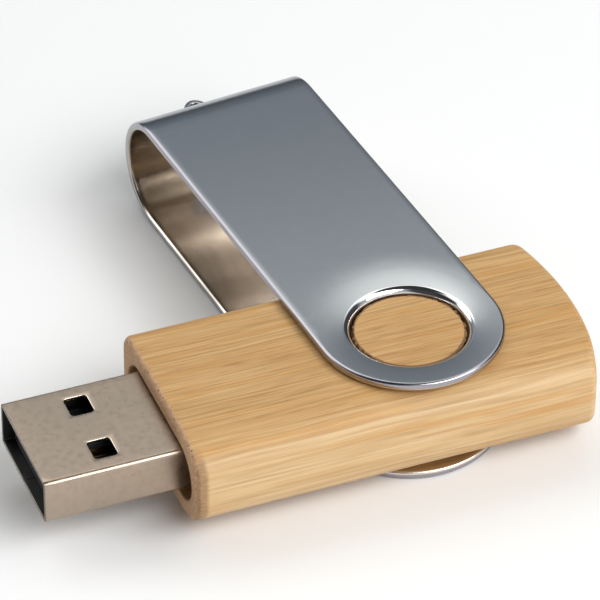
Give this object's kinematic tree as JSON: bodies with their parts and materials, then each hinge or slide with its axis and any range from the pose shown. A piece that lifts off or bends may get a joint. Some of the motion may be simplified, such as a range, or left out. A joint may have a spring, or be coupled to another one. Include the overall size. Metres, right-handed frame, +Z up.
{
  "type": "usb flash drive",
  "caption": "Swivel USB flash drive: a bamboo body with a USB-A plug and a folded steel clip that turns round it to cover the plug, with a lanyard loop at the bend.",
  "frame": {"origin": "where the clip's swivel axis meets the outer face of the clip's lower leg, which the drive rests on", "axes": "+Z up along the swivel axis, the body along X with the plug towards -X, the clip turned out towards +Y at rest"},
  "size_m": [0.0522, 0.0548, 0.011],
  "materials": {
    "bamboo": "satin, fine grain along the body",
    "clip_steel": "satin outside, bright inside and round the holes",
    "plug_metal": "nickel plated, warm satin",
    "plug_plastic": "matt black",
    "contact_gold": "gold plated",
    "board": "green solder mask",
    "chip_black": "moulded epoxy",
    "tin": "tinned",
    "capacitor_tan": "fired ceramic",
    "tray_plastic": "matt black",
    "adhesive": "cured, slightly cloudy"
  },
  "bodies": {
    "drive": {"bamboo_body": "bamboo", "plug_shell": "plug_metal", "plug_insulator": "plug_plastic", "contact_vbus": "contact_gold", "contact_data_minus": "contact_gold", "contact_data_plus": "contact_gold", "contact_ground": "contact_gold", "circuit_board": "board", "controller_chip": "chip_black", "controller_leads": "tin", "flash_chip": "chip_black", "flash_leads": "tin", "crystal": "tin", "capacitors": "capacitor_tan", "resistors": "chip_black", "contact_solder": "tin", "shell_solder": "tin", "module_tray": "tray_plastic", "tray_adhesive": "adhesive"},
    "clip": {"swivel_clip": "clip_steel"}
  },
  "joints": [
    {"name": "clip_swivel", "type": "hinge", "parent": "drive", "child": "clip", "pos_m": [0, 0, 0.0055], "axis": [0, 0, 1], "continuous": true}
  ]
}
